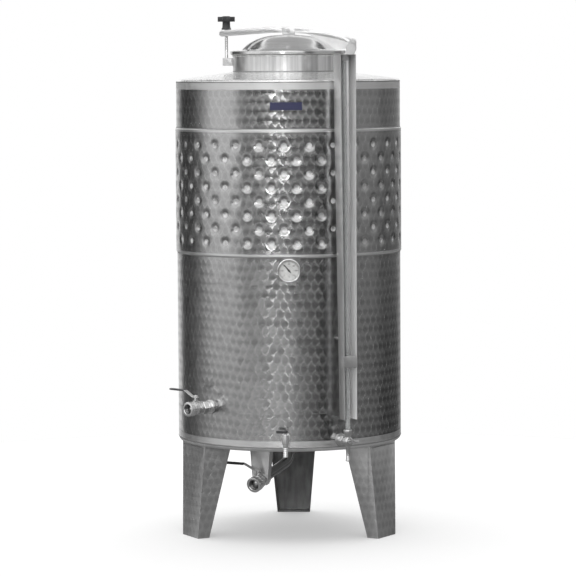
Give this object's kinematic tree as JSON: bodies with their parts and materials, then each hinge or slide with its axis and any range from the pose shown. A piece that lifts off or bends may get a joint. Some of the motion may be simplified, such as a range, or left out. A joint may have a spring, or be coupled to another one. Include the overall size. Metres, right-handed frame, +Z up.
{
  "type": "vertical storage tank",
  "caption": "Vertical stainless tank on folded legs, with a lidded manway, dimpled cooling jacket, sight gauge, thermometer, racking valve, sample tap and bottom drain.",
  "frame": {"origin": "middle of the outline's box, on the floor under the feet; the tank's own axis stands 6.8 mm towards +X and 5.5 mm towards +Y from it", "axes": "+Z up along the tank, -Y towards the front with the thermometer and sample tap, +X to the right of the front"},
  "size_m": [0.8004, 0.8786, 1.7977],
  "materials": {
    "marbled_steel": "overlapping circular brushed spots",
    "plain_steel": "smooth mill finish with weld seams",
    "polished_steel": "bright polished",
    "leg_steel": "matte folded sheet",
    "fitting_steel": "cast and turned, satin",
    "black_plastic": "moulded",
    "seal_rubber": "pale silicone",
    "dial_white": "printed dial face",
    "gauge_glass": "clear tube"
  },
  "bodies": {
    "tank": {"shell_panel_1": "marbled_steel", "shell_panel_2": "marbled_steel", "shell_panel_3": "marbled_steel", "shell_panel_4": "marbled_steel", "shell_panel_5": "marbled_steel", "shell_panel_6": "marbled_steel", "shell_panel_7": "marbled_steel", "shell_panel_8": "marbled_steel", "cooling_jacket": "marbled_steel", "jacket_inlet": "fitting_steel", "jacket_outlet": "fitting_steel", "tank_bottom": "plain_steel", "roof_cone": "plain_steel", "manway_neck": "plain_steel", "hinge_bracket": "fitting_steel", "clamp_bracket": "fitting_steel", "leg_left": "leg_steel", "leg_right": "leg_steel", "leg_back": "leg_steel", "thermometer_pocket": "fitting_steel", "thermometer_case": "polished_steel", "thermometer_dial": "dial_white", "racking_valve": "fitting_steel", "drain_pipe": "fitting_steel", "drain_valve": "fitting_steel", "drain_hanger": "leg_steel", "sample_tap": "fitting_steel", "gauge_valve": "fitting_steel", "gauge_tube": "gauge_glass", "gauge_guard": "polished_steel", "gauge_top": "fitting_steel", "gauge_clip": "fitting_steel"},
    "lid": {"lid_dome": "polished_steel", "lid_seal": "seal_rubber", "clamp_arm": "polished_steel", "arm_block": "fitting_steel"},
    "bolt": {"swing_bolt": "fitting_steel"},
    "knob": {"star_knob": "black_plastic"},
    "racking_lever": {"racking_lever": "fitting_steel", "racking_grip": "black_plastic"},
    "drain_lever": {"drain_lever": "fitting_steel", "drain_grip": "black_plastic"},
    "sample_handle": {"sample_handle": "black_plastic"},
    "gauge_handle": {"gauge_handle": "fitting_steel"},
    "needle": {"thermometer_needle": "black_plastic"}
  },
  "joints": [
    {"name": "lid_hinge", "type": "hinge", "parent": "tank", "child": "lid", "pos_m": [0.23365, 0.0055, 1.707], "axis": [0, 1, 0], "range_deg": [0, 105]},
    {"name": "bolt_swing", "type": "hinge", "parent": "tank", "child": "bolt", "pos_m": [-0.20685, 0.0055, 1.639], "axis": [0, -1, 0], "range_deg": [0, 95]},
    {"name": "knob_turn", "type": "hinge", "parent": "bolt", "child": "knob", "pos_m": [-0.20685, 0.0055, 1.7508], "axis": [0, 0, 1], "continuous": true},
    {"name": "racking_turn", "type": "hinge", "parent": "tank", "child": "racking_lever", "pos_m": [-0.30126, -0.33657, 0.5012], "axis": [0, 0, 1], "range_deg": [0, 90]},
    {"name": "drain_turn", "type": "hinge", "parent": "tank", "child": "drain_lever", "pos_m": [-0.09843, -0.1923, 0.23047], "axis": [-0.1056, -0.1986, 0.9744], "range_deg": [0, 90]},
    {"name": "sample_turn", "type": "hinge", "parent": "tank", "child": "sample_handle", "pos_m": [0.00675, -0.4298, 0.3903], "axis": [0, 0, 1], "range_deg": [0, 90]},
    {"name": "gauge_turn", "type": "hinge", "parent": "tank", "child": "gauge_handle", "pos_m": [0.22237, -0.39664, 0.357], "axis": [-0.4726, 0.8813, 0], "range_deg": [0, 90]},
    {"name": "needle_turn", "type": "hinge", "parent": "tank", "child": "needle", "pos_m": [0.02141, -0.41434, 0.938], "axis": [0.0349, -0.9994, 0], "range_deg": [-175, 95]}
  ],
  "couplings": [
    {"joint": "bolt_swing", "follows": "lid_hinge", "ratio": 0.9047}
  ]
}
